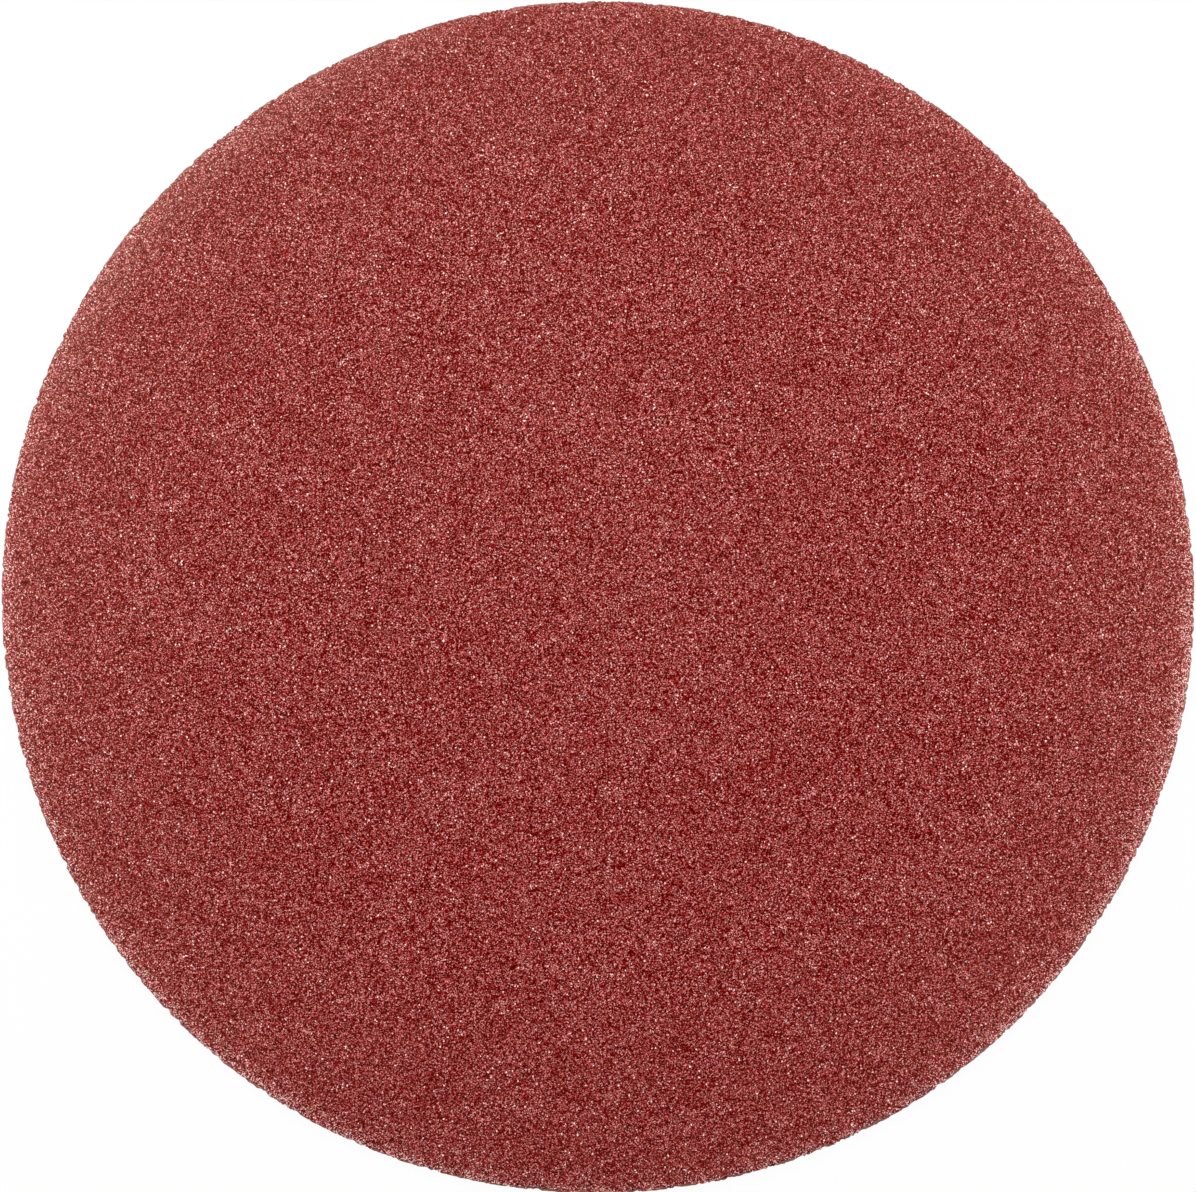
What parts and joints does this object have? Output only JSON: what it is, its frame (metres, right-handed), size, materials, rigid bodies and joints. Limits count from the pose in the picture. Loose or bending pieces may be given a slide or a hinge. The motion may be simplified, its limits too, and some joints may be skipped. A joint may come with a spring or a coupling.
{
  "type": "sanding disc",
  "caption": "Flat round sanding disc without holes: red-brown bonded grain on one face, a plain back and a die-cut, slightly rolled-down rim.",
  "frame": {"origin": "centre of the disc's flat back", "axes": "+Z out of the grain face, square to the disc; +Y is up in the picture and +X is right"},
  "size_m": [0.125, 0.125, 0.0012],
  "materials": {
    "abrasive_grain": "resin-bonded aluminium oxide grain",
    "backing": "short brushed loop pile"
  },
  "bodies": {
    "root": {"sanding_disc": "abrasive_grain"}
  },
  "joints": []
}
